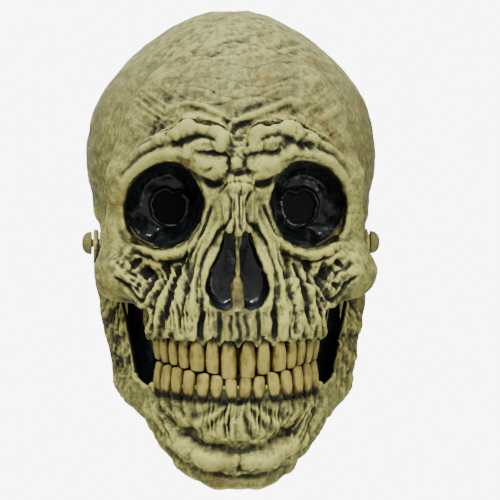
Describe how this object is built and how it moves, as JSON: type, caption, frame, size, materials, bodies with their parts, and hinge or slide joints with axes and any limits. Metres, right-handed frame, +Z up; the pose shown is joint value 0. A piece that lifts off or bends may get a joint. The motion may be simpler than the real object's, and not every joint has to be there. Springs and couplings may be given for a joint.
{
  "type": "latex skull mask",
  "caption": "Overhead latex skull mask with a moving sprung jaw, black socket and nose linings, see-through gauze, foam pads and a nape strap.",
  "frame": {"origin": "midpoint between the two jaw pivots, a little below the wearer's ears", "axes": "+Z up as worn, -Y out of the face, +X towards the wearer's left"},
  "size_m": [0.1972, 0.241, 0.2929],
  "materials": {
    "bone_latex": "cream bone paint with grey-green wash, semi-matte",
    "tooth_latex": "ochre stained, semi-gloss",
    "black_latex": "glossy black",
    "black_gauze": "open black gauze, matte",
    "foam": "dark grey open-cell foam",
    "webbing": "black woven nylon webbing",
    "elastic": "black ribbed woven elastic",
    "gauze_tape": "off-white cotton tape soaked in latex",
    "nylon": "natural nylon",
    "nickel": "nickel-plated steel",
    "painted_cap": "moulded cap painted to match the latex"
  },
  "bodies": {
    "head": {"skull_skin": "bone_latex", "upper_teeth": "tooth_latex", "nose_cup": "black_latex", "mouth_liner": "black_latex", "strap_anchor": "webbing", "loop_tape": "webbing", "forehead_pad": "foam", "crown_pad": "foam", "nape_pad": "foam", "left_socket_cup": "black_latex", "left_eye_mesh": "black_gauze", "left_pivot_cap": "painted_cap", "left_pivot_washer": "nylon", "left_pivot_nut": "nickel", "left_jaw_elastic": "elastic", "left_slit_tape": "gauze_tape", "left_temple_pad": "foam", "right_socket_cup": "black_latex", "right_eye_mesh": "black_gauze", "right_pivot_cap": "painted_cap", "right_pivot_washer": "nylon", "right_pivot_nut": "nickel", "right_jaw_elastic": "elastic", "right_slit_tape": "gauze_tape", "right_temple_pad": "foam"},
    "jaw": {"jaw_skin": "bone_latex", "lower_teeth": "tooth_latex", "chin_pad": "foam", "chin_strap": "webbing"},
    "strap": {"closure_strap": "webbing", "hook_tape": "webbing"}
  },
  "joints": [
    {"name": "jaw_open", "type": "hinge", "parent": "head", "child": "jaw", "pos_m": [0, 0, 0], "axis": [1, 0, 0], "range_deg": [0, 15], "stiffness_Nm_per_rad": 0.5, "springref_deg": -28.65, "deforming": ["mouth_liner", "left_jaw_elastic", "right_jaw_elastic"]},
    {"name": "strap_peel", "type": "hinge", "parent": "head", "child": "strap", "pos_m": [-0.015, 0.1052, -0.044], "axis": [0, 0, 1], "range_deg": [0, 110]}
  ]
}
